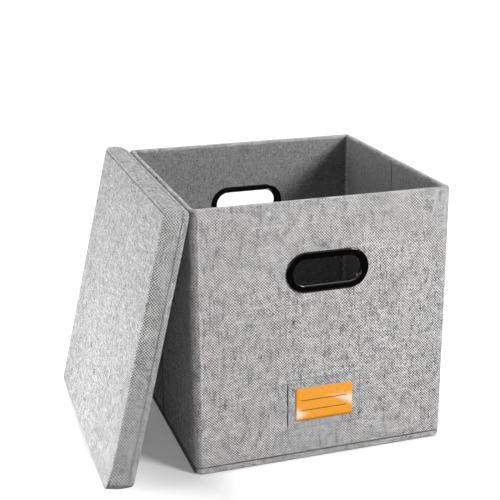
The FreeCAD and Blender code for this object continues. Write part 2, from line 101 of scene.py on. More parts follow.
# Lid: a tray of cloth over board, leaning on the case's left side
LID_HALF = np.array([175.0, 173.0]) * MM
LID_DEEP = 31.0 * MM
LID_R = 9.0 * MM
LID_EDGE = 3.2 * MM
LID_WALL = 4.7 * MM
LID_TOP = 4.2 * MM
LID_SEAM = 8.0 * MM
HEAD_SEAM = 5.5 * MM
SKIRT_SEAM = 9.0 * MM
LEAN = math.radians(13.196)
LID_AT = np.array([-207.75, 0.0, 170.379]) * MM


def corners_of(node):
    """A node's lowest and highest corner as arrays."""
    low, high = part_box(node)
    return np.array(low), np.array(high)


def added(name, data):
    """A new object with that data, in the scene."""
    made = bpy.data.objects.new(name, data)
    bpy.context.scene.collection.objects.link(made)
    return made


def fit(piece, body=None, node=None):
    """Parent a piece to the body that it rides on, and hide the solid that it stands for."""
    if body is not None:
        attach(piece, body)
    if node is not None:
        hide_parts(node)


def arithmetic(operation):
    """A method that adds a Math node of that operation."""
    def combine(self, *others):
        return self.math(operation, *others)

    return combine


class Value:
    """A socket of a material: arithmetic on it adds Math nodes."""

    def __init__(self, paint, socket):
        self.paint = paint
        self.socket = socket

    def out(self, name):
        """Another output of the same node."""
        return Value(self.paint, self.socket.node.outputs[name])

    def math(self, operation, *others):
        inputs = dict(enumerate((self, *others)))
        return self.paint.node("ShaderNodeMath", {"operation": operation}, inputs)

    def __rsub__(self, other):
        return self.paint.node("ShaderNodeMath", {"operation": "SUBTRACT"}, {0: other, 1: self})

    __add__ = __radd__ = arithmetic("ADD")
    __mul__ = __rmul__ = arithmetic("MULTIPLY")
    __sub__ = arithmetic("SUBTRACT")
    __truediv__ = arithmetic("DIVIDE")
    __abs__ = arithmetic("ABSOLUTE")


class Paint:
    """The nodes of a material or of the world, added one by one."""

    def __init__(self, host):
        host.use_nodes = True
        self.host = host
        self.tree = host.node_tree
        self.tree.nodes.clear()

    def node(self, kind, settings=(), inputs=(), output=0):
        """A node of a kind, its settings first, then its sockets' values or links."""
        made = self.tree.nodes.new(kind)
        for name, value in dict(settings).items():
            setattr(made, name, value)
        for name, value in dict(inputs).items():
            if isinstance(value, Value):
                self.tree.links.new(value.socket, made.inputs[name])
            else:
                made.inputs[name].default_value = value
        return Value(self, made.outputs[output]) if made.outputs else None

    def parts(self, place):
        """The three coordinates of a place."""
        x = self.node("ShaderNodeSeparateXYZ", inputs={0: place})
        return x, x.out("Y"), x.out("Z")

    def on_cloth(self):
        """The distances across and along the cloth, in metres."""
        return self.parts(self.node("ShaderNodeUVMap", {"uv_map": "cloth"}))[:2]

    def in_frame(self):
        """The place in the frame of the solids."""
        return self.node("ShaderNodeTexCoord").out("Object")

    def noise(self, across, along, detail=2.0, scale=1.0):
        """Two-dimensional noise, 0 to 1."""
        place = self.node("ShaderNodeCombineXYZ", inputs={0: across, 1: along})
        inputs = {"Vector": place, "Scale": scale, "Detail": detail}
        return self.node("ShaderNodeTexNoise", {"noise_dimensions": "2D"}, inputs)

    def solid_noise(self, place, scale, detail):
        """Noise through the solid, 0 to 1."""
        return self.node("ShaderNodeTexNoise", inputs={"Vector": place, "Scale": scale, "Detail": detail})

    def mix(self, share, low, high):
        """The colour low where share is 0 and high where it is 1."""
        return self.node("ShaderNodeMix", {"data_type": "RGBA"}, {0: share, 6: low, 7: high}, output=2)

    def step(self, value, low, high):
        """0 below low, 1 above high, smooth between."""
        inputs = {"Value": value, "From Min": low, "From Max": high}
        return self.node("ShaderNodeMapRange", {"interpolation_type": "SMOOTHSTEP"}, inputs)

    def bump(self, height, distance, strength):
        inputs = {"Strength": strength, "Distance": distance, "Height": height}
        return self.node("ShaderNodeBump", inputs=inputs)

    def surface(self, **inputs):
        """The finished surface, with sockets named as words joined by underscores."""
        named = {name.replace("_", " "): value for name, value in inputs.items()}
        shader = self.node("ShaderNodeBsdfPrincipled", inputs=named)
        self.node("ShaderNodeOutputMaterial", inputs={"Surface": shader})
        return self.host


def new_paint(name):
    return Paint(bpy.data.materials.new(name))


def grey(level):
    """A neutral colour of that linear level."""
    return (level, level, level, 1.0)


def linen(name, dark, light, contrast, pitch, slub=1.0, shade=None, swell=None):
    """Plain weave of heathered yarn on the cloth's own coordinates, in metres across and along.

    A product of two sines says which of the crossing yarns lies on top. The warp is the lighter
    yarn by contrast. Each float has a tone of its own, each yarn a slow one along its length, and
    a few yarns run thick and pale for a stretch. shade gives the painted shade: 0 in the bottom of a
    fold or seam, where shade falls, and 1 elsewhere. swell gives the height of soft padding,
    in metres."""
    p = new_paint(name)
    across, along = p.on_cloth()
    drift = p.noise(across, along, detail=1.0, scale=30.0) - 0.5
    u = across / pitch + drift * 0.6
    v = along / pitch + drift * 0.5
    warp, weft = u.math("FLOOR"), v.math("FLOOR")
    warp_wave = (u * math.pi).math("SINE")
    weft_wave = (v * math.pi).math("SINE")
    over = p.step(warp_wave * weft_wave, -0.3, 0.3)
    under = 1.0 - over
    crossing = p.node("ShaderNodeCombineXYZ", inputs={0: warp, 1: weft})
    own = p.node("ShaderNodeTexWhiteNoise", {"noise_dimensions": "2D"}, {"Vector": crossing}) - 0.5
    warp_slow = p.noise(warp * 7.31, v * 0.11) - 0.5
    weft_slow = p.noise(weft * 5.77 + 40.0, u * 0.11) - 0.5
    warp_slub = p.step(p.noise(warp * 3.19 + 90.0, v * 0.016, detail=1.0), 0.66, 0.74)
    weft_slub = p.step(p.noise(weft * 4.43 + 140.0, u * 0.02, detail=1.0), 0.69, 0.77)
    warp_tone = warp_slow * 1.5 + warp_slub * (0.24 * slub) + contrast
    weft_tone = weft_slow * 1.2 + weft_slub * (0.24 * slub) - contrast
    thread = warp_tone * over + weft_tone * under + own * 0.42 + 0.5
    # Painted shade: the cloth is up to 15 per cent darker in the gaps between the yarns
    pit = p.step(abs(warp_wave).math("MINIMUM", abs(weft_wave)), 0.0, 0.55)
    tone = p.step(thread, -0.05, 1.05) * (pit * 0.15 + 0.85)
    # Painted shade in the folds and seams, from the shade function
    if shade is not None:
        tone = tone * shade(p)
    ridge = abs(warp_wave) * over + abs(weft_wave) * under + (warp_slub + weft_slub) * 0.4
    if swell is not None:
        ridge = ridge + swell(p) / YARN_RISE
    return p.surface(
        Base_Color=p.mix(tone, grey(dark), grey(light)),
        Roughness=0.93 - tone * 0.1,
        Sheen_Weight=0.08,
        Specular_IOR_Level=0.2,
        Normal=p.bump(ridge, YARN_RISE, 0.8),
    )


def fibreboard(name):
    """Pressed brown-grey fibre: long pale fibres in a mottled ground."""
    p = new_paint(name)
    place = p.in_frame()
    fibre = p.solid_noise(place, 900.0, 4.0)
    cloud = p.solid_noise(place, 60.0, 2.0)
    speck = p.step(p.solid_noise(place, 2400.0, 2.0), 0.6, 0.75)
    share = p.step(fibre * 0.7 + cloud * 0.3, 0.35, 0.65)
    ground = p.mix(share, (0.16, 0.11, 0.07, 1.0), (0.33, 0.25, 0.17, 1.0))
    colour = p.mix(speck * 0.5, ground, (0.5, 0.42, 0.32, 1.0))
    return p.surface(Base_Color=colour, Roughness=0.9 - share * 0.1, Normal=p.bump(fibre, FIBRE_RISE, 0.5))


def gloss_black(name):
    """Polished black moulding with faint smears and a few fine scratches."""
    p = new_paint(name)
    place = p.in_frame()
    smear = p.solid_noise(place, 70.0, 3.0)
    stretched = p.node("ShaderNodeMapping", inputs={"Vector": place, "Scale": (60.0, 400.0, 2500.0)})
    scratch = p.step(p.solid_noise(stretched, 1.0, 1.0), 0.7, 0.78)
    return p.surface(
        Base_Color=p.mix(smear, grey(0.0008), grey(0.002)),
        Roughness=smear * 0.08 + scratch * 0.12 + 0.06,
        Specular_IOR_Level=0.5,
        Normal=p.bump(smear * 0.4 + scratch, SMEAR_RISE, 0.3),
    )


def clear_film(name, wide, tall):
    """Clear soft film, faintly waved and scuffed, less clear at its welded rim, with a painted shadow
    line along the welded seam on its left side."""
    rim_from, rim_to = 0.7 * MM, 1.3 * MM
    weld_at, weld_core, weld_edge = 1.0 * MM, 0.5 * MM, 1.1 * MM
    foot_from, foot_to, head = 3.0 * MM, 8.0 * MM, tall - 12.0 * MM
    p = new_paint(name)
    across, along = p.on_cloth()
    scuff = p.step(p.noise(across, along, detail=4.0, scale=260.0), 0.56, 0.8)
    wave = p.noise(across, along, detail=1.0, scale=38.0)
    inset = across.math("MINIMUM", wide - across).math("MINIMUM", along).math("MINIMUM", tall - along)
    rim = 1.0 - p.step(inset, rim_from, rim_to)
    # Painted shadow: a dark line along the welded seam, on the left side only
    weld_shadow = 1.0 - p.step(abs(across - weld_at), weld_core, weld_edge)
    weld_shadow = weld_shadow * p.step(along, foot_from, foot_to) * (1.0 - p.step(along, head, tall))
    clear = p.mix(wave, (0.36, 0.40, 0.48, 1.0), (0.55, 0.60, 0.70, 1.0))
    return p.surface(
        Base_Color=p.mix(weld_shadow, clear, (0.03, 0.03, 0.035, 1.0)),
        Roughness=scuff * 0.2 + 0.08,
        Alpha=(scuff * 0.05 + rim * 0.30 + 0.02).math("MAXIMUM", weld_shadow * 0.7),
        IOR=1.5,
        Normal=p.bump(wave + scuff * 0.1, FILM_RISE, 0.5),
    )


def orange_card(name, low, high):
    """Printed card: warm orange, with painted highlights that pale it towards two corners and painted
    shadow along its left and bottom edges, two plain ruled lines, paper tooth.
    """
    p = new_paint(name)
    place = p.in_frame()
    across, _, up = p.parts(place)
    x = (across - low[0]) / (high[0] - low[0])
    z = (up - low[2]) / (high[2] - low[2])
    tooth = p.solid_noise(place, 2600.0, 3.0)
    # Painted highlights: the glare of the film over the card, paled into its colour towards two corners
    left_glare = 1.0 - p.step(x * 2.2 + abs(z - 0.20) * 2.0, 0.1, 0.7)
    right_glare = 1.0 - p.step((1.0 - x) * 1.6 + abs(z + x * 0.5 - 0.98) * 3.4, 0.1, 0.9)
    pale = left_glare * 0.9 + right_glare * 0.9
    ground = p.mix(pale, (1.0, 0.40, 0.012, 1.0), (1.0, 0.92, 0.74, 1.0))
    margin = p.step(x, 0.10, 0.105) * (1.0 - p.step(x, 0.895, 0.90))
    line = abs(z - 0.62).math("MINIMUM", abs(z - 0.32))
    ink = (1.0 - p.step(line, 0.008, 0.014)) * margin
    # Painted shadow along the card's left and bottom edges
    rim = (1.0 - p.step(x, 0.0, 0.05)).math("MAXIMUM", 1.0 - p.step(z, 0.01, 0.10))
    shaded = p.mix(rim * 0.75, ground, (0.24, 0.09, 0.005, 1.0))
    return p.surface(
        Base_Color=p.mix(ink * 0.9, shaded, (0.02, 0.015, 0.01, 1.0)),
        Roughness=tooth * 0.12 + 0.28,
        Coat_Weight=0.35,
        Coat_Roughness=0.1,
        Normal=p.bump(tooth, TOOTH_RISE, 0.3),
    )


def sewing_thread(name, level):
    """Twisted thread: slanting bands along each stitch."""
    p = new_paint(name)
    across, along = p.on_cloth()
    twist = (along * 2600.0 + across * 5200.0).math("SINE") * 0.5 + 0.5
    tone = p.noise(across, along, scale=90.0)
    colour = p.mix(twist * 0.6 + tone * 0.4, grey(level * 0.6), grey(level * 1.3))
    return p.surface(Base_Color=colour, Roughness=0.8 - twist * 0.1, Normal=p.bump(twist, TWIST_RISE, 0.6))


class Skin:
    """Patches of one mesh. Corners that fall on one point are welded, and a quad with two corners
    there becomes a triangle. Each corner keeps its own place on the cloth."""

    WELD = 1e-6

    def __init__(self):
        self.corners = []
        self.places = []
        self.sides = []

    def grid(self, points, cloth, skip=None):
        """Quads between the neighbours of a grid of points, or of many grids at once, less those
        that skip marks."""
        keep = ~skip if skip is not None else np.ones(points[..., 1:, 1:, 0].shape, bool)
        for source, target in ((points, self.corners), (cloth, self.places)):
            quads = np.stack([source[..., :-1, :-1, :], source[..., :-1, 1:, :],
                              source[..., 1:, 1:, :], source[..., 1:, :-1, :]], -2)
            target.append(quads[keep].reshape(-1, source.shape[-1]))
        self.sides += [4] * int(keep.sum())
        return self

    def ring(self, points, cloth, gap):
        """A grid and one more strip, gap wide on the cloth, from its last row to its first."""
        return self.grid(closed(points), np.concatenate([cloth, cloth[-1:] + gap]))

    def end(self, points, cloth):
        """A flat face through a loop of points."""
        self.corners.append(points)
        self.places.append(cloth)
        self.sides.append(len(points))

    def build(self, name, material):
        corners = np.concatenate(self.corners)
        places = np.concatenate(self.places)
        sides = np.array(self.sides)
        _, first, index = np.unique(np.round(corners / self.WELD).astype(np.int64), axis=0,
                                    return_index=True, return_inverse=True)
        index = index.ravel()
        face = np.repeat(np.arange(len(sides)), sides)
        starts = np.cumsum(sides) - sides
        after = np.arange(len(index)) + 1
        after[starts + sides - 1] = starts
        keep = index != index[after]
        sides = np.bincount(face[keep], minlength=len(sides))
        whole = sides > 2
        keep &= whole[face]
        sides, index, places = sides[whole], index[keep], places[keep]
        used, index = np.unique(index, return_inverse=True)
        mesh = bpy.data.meshes.new(name)
        mesh.vertices.add(len(used))
        mesh.vertices.foreach_set("co", corners[first][used].astype(np.float32).ravel())
        mesh.loops.add(len(index))
        mesh.loops.foreach_set("vertex_index", index.astype(np.int32).ravel())
        mesh.polygons.add(len(sides))
        mesh.polygons.foreach_set("loop_start", (np.cumsum(sides) - sides).astype(np.int32))
        mesh.polygons.foreach_set("use_smooth", np.full(len(sides), True))
        layer = mesh.uv_layers.new(name="cloth")
        layer.data.foreach_set("uv", places.astype(np.float32).ravel())
        mesh.update(calc_edges=True)
        mesh.validate()
        mesh.materials.append(material)
        return added(name, mesh)


def spaced(marks, step):
    """The marks, with each stretch between them cut into equal parts no longer than step."""
    parts = [np.linspace(a, b, max(1, math.ceil((b - a) / step - 1e-6)) + 1)[:-1]
             for a, b in zip(marks[:-1], marks[1:])]
    return np.concatenate([*parts, marks[-1:]])


def closed(rows):
    """The rows, and the first one again at the end."""
    return np.concatenate([rows, rows[:1]])


def paired(first, second):
    """Two coordinates side by side on a new last axis, both spread to one shape."""
    return np.stack(np.broadcast_arrays(first, second), -1)


def round_off(distance, radius):
    """How far a rounded end draws in, at a distance from it: a quarter circle."""
    short = np.clip(radius - distance, 0.0, radius)
    return radius - np.sqrt(np.maximum(radius ** 2 - short ** 2, 0.0))


def arc(centre, radius, start, stop, count):
    """Points on a circle in the plane of a section."""
    turn = np.linspace(start, stop, count)
    return paired(centre[0] + radius * np.cos(turn), centre[1] + radius * np.sin(turn))


def valley(distance, width):
    """1 on a line, falling off smoothly within about the width on both sides."""
    return np.exp(-(distance / width) ** 2)


def from_ends(value, low, high):
    """The distance to the nearer of two ends."""
    return np.minimum(value - low, high - value)


def share_of(reach, distance):
    """The distance as a share of the reach, kept from 0 to 1."""
    return np.clip(distance / reach, 0, 1)


def lengths(points):
    """Distance travelled along a run of points."""
    steps = np.linalg.norm(np.diff(points, axis=0), axis=1)
    return np.concatenate([[0.0], np.cumsum(steps)])


def outline(s, half_x, half_y, radius):
    """Places and outward normals on a rounded rectangle, s along it from the middle of its left
    side, towards the front. Each side runs from one corner's centre to the next, a radius outside
    them, and then its normal turns through a quarter circle."""
    x, y = half_x - radius, half_y - radius
    centres = np.array([(-x, y), (-x, -y), (x, -y), (x, y)])
    runs = np.array([(0, -1), (1, 0), (0, 1), (-1, 0)])
    straight = np.array([y, x, y, x]) * 2
    starts = np.cumsum([0.0, *(straight + QUARTER * radius)])
    s = np.mod(s + y, starts[4])
    side = np.searchsorted(starts[1:4], s, side="right")
    run, ahead = runs[side], s - starts[side]
    angle = (np.maximum(ahead - straight[side], 0) / radius)[:, None]
    normals = run[:, ::-1] * (1, -1) * np.cos(angle) + run * np.sin(angle)
    places = centres[side] + run * np.minimum(ahead, straight[side])[:, None] + radius * normals
    return places, normals


def once_round(half_x, half_y, radius, step, cuts):
    """Columns once round a rounded rectangle, step apart on its straight sides and with cuts in
    each quarter circle, then their places and normals. The last column falls on the first."""
    straight = np.array([half_y, half_x, half_y, half_x]) * 2 - 2 * radius
    marks = np.cumsum([0.0, *paired(straight, QUARTER * radius).ravel()])
    parts = [spaced(marks[i:i + 2], QUARTER * radius / cuts if i % 2 else step)[:-1] for i in range(8)]
    columns = np.concatenate([*parts, marks[-1:]]) - straight[0] / 2
    plan, normal = outline(columns, half_x, half_y, radius)
    plan[-1], normal[-1] = plan[0], normal[0]
    return columns, plan, normal


def carry(section, base, normal, draw):
    """A closed section of (outward, up) points that runs up its outer face, carried along a path.

    The section's own normal is the direction of its run turned a quarter to the right.
    Point = base + outward * normal, at height up, moved back by draw along the own normal."""
    ahead = np.roll(section, -1, 0) - np.roll(section, 1, 0)
    own = paired(ahead[:, 1], -ahead[:, 0])
    own = own / np.linalg.norm(own, axis=1, keepdims=True)
    moved = section[:, None] - own[:, None] * draw[:, None]
    return np.concatenate([base + moved[..., :1] * normal, moved[..., 1:]], 2)


def waves(s, z, seed):
    """Slow unevenness of cloth over board: five crossing sines, at most 1 high."""
    random = np.random.default_rng(seed)
    total = np.zeros(np.broadcast(s, z).shape)
    for _ in range(5):
        length = random.uniform(*WAVE)
        turn, phase = random.uniform(0, math.tau, 2)
        total += np.sin((s * math.cos(turn) + z * math.sin(turn)) * math.tau / length + phase)
    return total / 5


# The handle's opening, and the window round it that the walls' faces leave to it
ring_low, ring_high = corners_of("handle_ring_front")
GRIP = (ring_low + ring_high) / 2
FLANGE_R = (ring_high[2] - ring_low[2]) / 2
SLOT_REACH = (ring_high[0] - ring_low[0]) / 2 - FLANGE_R
SLOT_R = 18.0 * MM
TUBE = 1.6 * MM
HOLE_R = SLOT_R + TUBE + EASE
WINDOW = np.array([64.0, 40.0]) * MM
WINDOW_FOOT, WINDOW_HEAD = GRIP[2] - WINDOW[1], GRIP[2] + WINDOW[1]


def slot_point(ray):
    """Where a ray from the middle of the handle's hole leaves it: on a straight side if it gets
    there within SLOT_REACH, else on the end circle."""
    across, up = np.abs(ray[:, 0]), np.abs(ray[:, 1])
    side = HOLE_R / np.maximum(up, 1e-9)
    circle = SLOT_REACH * across + np.sqrt(np.maximum(HOLE_R ** 2 - (SLOT_REACH * up) ** 2, 0.0))
    return ray * np.where(side * across <= SLOT_REACH, side, circle)[:, None]


def loop_of(grid, low, high, left, right):
    """The values round a rectangle of a grid, anticlockwise from its low left corner, closed."""
    way = 1 if high > low else -1
    return np.concatenate([
        grid[low, left:right], grid[low:high:way, right], grid[high, right:left:-1],
        grid[high:low:-way, left], grid[low:low + 1, left],
    ])


def carried_piece(name, material, section, columns, place, draw, lift, seed, handle_at=None):
    """A closed section carried along the upright outline that place gives, closed at both ends.

    handle_at is the middle of the handle along the outline. There both faces leave a rectangle
    out, and loops run from it in to the slot outline, through the wall, and out to it inside."""
    base, normal = place(columns)
    points = carry(section, base, normal, draw)
    points[..., :2] += lift[..., None] * normal
    flat = paired(columns, lengths(closed(section))[:, None]) + seed * SHIFT
    skin = Skin()
    skip = np.zeros((len(section), len(columns) - 1), bool)
    if handle_at is not None:
        left, right = (int(np.argmin(np.abs(columns - handle_at - e * WINDOW[0]))) for e in (-1, 1))
        lows, highs = (np.flatnonzero(np.abs(section[:, 1] - z) < 1e-7) for z in (WINDOW_FOOT, WINDOW_HEAD))
        spans = paired(columns - handle_at, section[:, 1:] - GRIP[2])
        ray = loop_of(spans, lows[0], highs[0], left, right)
        hole = slot_point(ray / np.linalg.norm(ray, axis=1, keepdims=True))
        plan, out = place(hole[:, 0] + handle_at)
        loops, flats = [], []
        for low, high, parts in zip(lows, highs, ((0, 0.3, 0.65, 1), (1, 0.65, 0.3, 0))):
            skip[min(low, high):max(low, high), left:right] = True
            rim, laid = (loop_of(grid, low, high, left, right) for grid in (points, flat))
            edge = np.concatenate([plan + section[low, 0] * out, hole[:, 1:] + GRIP[2]], 1)
            pull = (hole - ray) * (1, 1 if high > low else -1)
            loops += [rim * (1 - part) + edge * part for part in parts]
            flats += [laid + pull * part for part in parts]
        skin.grid(np.stack(loops), np.stack(flats))
    skin.grid(closed(points), flat, skip)
    skin.end(points[:, 0], section)
    skin.end(points[::-1, -1], section[::-1])
    return skin.build(name, material)


def covered_wall(name, start, stop, seed, seams, handle_at):
    """Cloth over board from start to stop along the case's outline: round the rim and the foot, and
    turned in under the lining. The ends draw in by a quarter circle. The outer face has slow waves,
    and a lap with a soft valley beside it along each upright seam."""
    wave_high, lap_high, roll_high = 0.22 * MM, 0.5 * MM, 0.35 * MM
    lap_wide, lap_fade, roll_at, roll_wide = 1.8 * MM, 4.5 * MM, 1.2 * MM, 1.4 * MM
    rim_calm, end_calm, clear, step = 20.0 * MM, 12.0 * MM, 3.5 * MM, 6.0 * MM
    tuck, tuck_in, tuck_end = 0.8 * MM, 0.6 * MM, 2.0 * MM
    deep, inner, ledge = WALL - HAIR, WALL - LINING_T, RIM - TURN_IN
    marks = [WALL_FOOT + FOOT_R + SOFT, WINDOW_FOOT, WINDOW_HEAD, ledge - tuck_end]
    heights = spaced(marks, STEP)
    section = np.concatenate([
        arc((-FOOT_R, WALL_FOOT + FOOT_R), FOOT_R, -QUARTER, 0.0, 5),
        paired(0.0, heights),
        arc((-RIM_R, RIM - RIM_R), RIM_R, 0.0, QUARTER, 7),
        arc((-deep + RIM_IN_R, RIM - RIM_IN_R), RIM_IN_R, QUARTER, 2 * QUARTER, 7),
        [(-deep, ledge + tuck), (SOFT - deep, ledge), (-inner, ledge - tuck_in)],
        paired(-inner, heights[::-1]),
        arc((-inner + FOOT_IN_R, WALL_FOOT + FOOT_IN_R), FOOT_IN_R, 2 * QUARTER, 3 * QUARTER, 3),
    ])
    ends = np.array([0.15, 0.4, 0.8, 1.2, 1.6, 3.0]) * MM
    turns = (CORNER_STARTS[:, None] + np.linspace(0, TURN, 9)).ravel()
    valleys = (np.array(seams)[:, None] + np.linspace(-3.6, 4.2, 14) * MM).ravel()
    marks = [start, stop, *(start + ends), *(stop - ends)]
    marks += [mark for mark in (*turns, *valleys) if start + clear < mark < stop - clear]
    if handle_at is not None:
        marks += [handle_at - WINDOW[0], handle_at + WINDOW[0]]
    columns = spaced(np.unique(np.round(marks, 7)), step)
    draw = round_off(from_ends(columns, start, stop), END_R)
    s, z = np.broadcast_arrays(columns, section[:, 1:])
    outer = (section[:, :1] > -1e-9) & (section[:, 1:] < RIM - RIM_R)
    calm = share_of(rim_calm, from_ends(z, WALL_FOOT, RIM)) * share_of(end_calm, from_ends(s, start, stop))
    lift = waves(s, z, seed) * calm * wave_high
    for seam, way in zip(seams, (-1, 1)):
        behind = (s - seam) * way
        lap = share_of(lap_wide, behind) * np.clip(1.4 - behind / lap_fade, 0, 1)
        lift = lift - lap_high * lap + roll_high * valley(behind + roll_at, roll_wide) * calm

    def place(along):
        return outline(along, HALF_X, HALF_Y, CORNER_R)

    return carried_piece(name, case_linen, section, columns, place, draw, lift * outer, seed, handle_at)


def lining_sheet(name, start, stop, out, seed, handle_at, fat=LINING_T):
    """A thin sheet of lining between two upright lines on the inside of a wall whose outward normal
    is out, with rounded edges and a slightly uneven face."""
    wave_high, calm_wide, step = 0.1 * MM, 10.0 * MM, 8.0 * MM
    start, run = np.array(start), np.array(stop) - np.array(start)
    length = np.linalg.norm(run)
    run, out, half = run / length, np.array(out, float), fat / 2
    marks = [LOW + half, HIGH - half]
    if handle_at is not None:
        marks[1:1] = [WINDOW_FOOT, WINDOW_HEAD]
    heights = spaced(marks, step)
    section = np.concatenate([
        paired(fat, heights),
        arc((half, HIGH - half), half, 0.0, 2 * QUARTER, 5)[1:-1],
        paired(0.0, heights[::-1]),
        arc((half, LOW + half), half, 2 * QUARTER, 4 * QUARTER, 5)[1:-1],
    ])
    marks = [0.0, 0.3 * half, half, length - half, length - 0.3 * half, length]
    if handle_at is not None:
        marks[3:3] = [handle_at - WINDOW[0], handle_at + WINDOW[0]]
    columns = spaced(marks, step)
    draw = round_off(from_ends(columns, 0.0, length), half * 0.98)
    s, z = np.broadcast_arrays(columns, section[:, 1:])
    calm = share_of(calm_wide, from_ends(s, 0.0, length)) * share_of(calm_wide, from_ends(z, LOW, HIGH))
    lift = (waves(s, z, seed) - 1.0) * calm * wave_high * (section[:, :1] < 1e-9)

    def place(along):
        return start + run * along[:, None], np.broadcast_to(out, (len(along), 2))

    return carried_piece(name, lining_linen, section, columns, place, draw, lift, seed, handle_at)


def tray(name, material, profile, half, radius, at, turn, bumps, seed):
    """A closed skin swept round a rounded rectangle: profile runs from its middle inside to its
    middle outside, as rows of (inset, height).

    Down to nine tenths of the corner's radius the rectangle is offset; further in it shrinks
    towards its middle. Rows that lie in a face take their place on the cloth from it, the others
    from the way round."""
    columns, plan, normal = once_round(*half, radius, STEP, 6)
    inset, far = profile[:, 0], lengths(profile)
    keep_in = radius * 0.9
    kept = np.minimum(inset, keep_in)
    shrink = 1 - (inset - kept) / (min(half) - keep_in)
    ground = (plan - kept[:, None, None] * normal) * shrink[:, None, None]
    height = np.broadcast_to(profile[:, 1:], ground.shape[:2])
    if bumps is not None:
        ground, height = bumps(ground, height, normal)
    points = np.concatenate([ground, height[..., None]], 2) @ turn.T + at
    round_way = paired(columns, far[:, None]) + seed * SHIFT
    flat = ground[..., ::-1] + seed * FACE_SHIFT
    level = np.abs(np.diff(profile[:, 1])) < np.abs(np.diff(inset)) * 0.6
    skin = Skin()
    for row in range(len(profile) - 1):
        cloth = flat if level[row] else round_way
        skin.grid(points[row:row + 2], cloth[row:row + 2])
    return skin.build(name, material)


def thin_sheet(name, material, middle, out, cloth, fat):
    """A closed sheet round a middle surface given on a grid, its thickness falling to nothing at
    the rim by a half circle. out is the direction of its outer face."""
    across, along = lengths(middle[len(middle) // 2]), lengths(middle[:, middle.shape[1] // 2])
    near = np.minimum(from_ends(across, 0.0, across[-1]), from_ends(along, 0.0, along[-1])[:, None])
    half = fat / 2 - round_off(near, fat / 2)
    reach = half[..., None] * np.array(out, float)
    front = Skin().grid(middle + reach, cloth)
    return front.grid((middle - reach)[:, ::-1], cloth[:, ::-1]).build(name, material)


def fine_edges(length, fat, step, marks=()):
    """Distances from 0 to length, close together near both ends so that a rim comes out round."""
    near = np.array([0.0, 0.03, 0.13, 0.29, 0.5]) * fat
    return spaced(np.unique(np.concatenate([near, length - near, marks])), step)


def ring_moulding(name, section, wall_y, out):
    """An oval ring: a closed section of (radius, height off the wall) carried round a slot outline.

    Round each end the outline turns about a point SLOT_REACH from the middle."""
    turn = np.linspace(-QUARTER, QUARTER, 49)
    angles = np.concatenate([turn, turn + math.pi, turn[:1]])
    side = np.repeat([1.0, -1.0, 1.0], [49, 49, 1]) * SLOT_REACH
    x = side + section[:, :1] * np.cos(angles)
    z = section[:, :1] * np.sin(angles)
    y = np.broadcast_to(wall_y + out * section[:, 1:], x.shape)
    points = np.stack([GRIP[0] + x * -out, y, GRIP[2] + z], 2)
    cloth = paired(lengths(points[0]), lengths(section)[:, None])
    return Skin().ring(points, cloth, TUBE).build(name, grip_black)


def stitches(name, places, runs, outs, length=2.3 * MM, fat=0.5 * MM, sink=0.1 * MM):
    """One short thread for each place: a tube along run that bows out of the cloth, closed at its
    tips. Point = place + run * t + out * rise(t) + (side * cos + out * sin) * radius(t)."""
    t = np.array([-1.0, -0.86, -0.4, 0.4, 0.86, 1.0])
    girth = np.array([0.0, 0.62, 1.0, 1.0, 0.62, 0.0]) * fat / 2
    turn = np.linspace(0, math.tau, 6)
    sides = np.cross(outs, runs)
    rise = (1 - t ** 2) * fat * 0.5 - sink
    spine = places[:, None] + runs[:, None] * (t * length / 2)[:, None] + outs[:, None] * rise[:, None]
    wheel = sides[:, None] * np.cos(turn)[:, None] + outs[:, None] * np.sin(turn)[:, None]
    points = spine[:, :, None] + wheel[:, None] * girth[:, None, None]
    laid = paired((t * length / 2)[:, None], turn * fat / 2)
    return Skin().grid(points, np.broadcast_to(laid, (*points.shape[:-1], 2))).build(name, sewing)


def case_painted_shade(p):
    """Painted shade: dark in the groove above the hem, under the hem as a contact shadow, down the crease
    of each side, and above the hem on the left side, which lies in the lid's shadow. Each pair of
    distances is where the dark ends and the plain cloth starts."""
    x, y, z = p.parts(p.in_frame())
    groove = p.step(abs(z - HEM_TOP), 0.4 * MM, 1.5 * MM)
    foot = p.step(z, 0.2 * MM, 2.2 * MM)
    crease = 1.0 - p.step(abs(y), 1.2 * MM, 3.4 * MM)
    inward = p.step(abs(x), HALF_X - 3.0 * MM, HALF_X - 1.5 * MM)
    outward = 1.0 - p.step(x, 0.5 * MM - HALF_X, 4.0 * MM - HALF_X)
    bound = 1.0 - p.step(z, HEM_TOP + 1.0 * MM, HEM_TOP + 3.0 * MM)
    low = (groove * 0.85 + 0.15) * (foot * 0.7 + 0.3)
    return low * (1.0 - crease * inward * 0.9) * (1.0 - outward * bound * 0.7)


def corner_swell(p):
    """The cloth falls away towards the four upright corners: height = -reach squared / swell, reach
    being how far within swell of the corner's line a point lies."""
    swell = 9.5 * MM
    x, y, _ = p.parts(p.in_frame())
    edge = HALF_X + HALF_Y - abs(x) - abs(y)
    reach = (swell - edge).math("MAXIMUM", 0.0)
    return reach * reach * (-1.0 / swell)


def lid_painted_shade(p):
    """Painted shade in the seam round the lid's sides and in the one across its face near the head."""
    x, _, z = p.parts(p.in_frame())
    over, above = x - LID_AT[0], z - LID_AT[2]
    up = over * math.sin(LEAN) + above * math.cos(LEAN)
    deep = above * math.sin(LEAN) - over * math.cos(LEAN)
    hem = p.step(abs(deep - LID_SEAM), 0.3 * MM, 1.2 * MM)
    head = 1.0 - p.step(abs(up - (LID_HALF[0] - HEAD_SEAM)), 0.3 * MM, 1.6 * MM)
    face = p.step(deep, LID_DEEP - 3.0 * MM, LID_DEEP - 1.5 * MM)
    return (hem * 0.6 + 0.4) * (1.0 - head * face * 0.6)


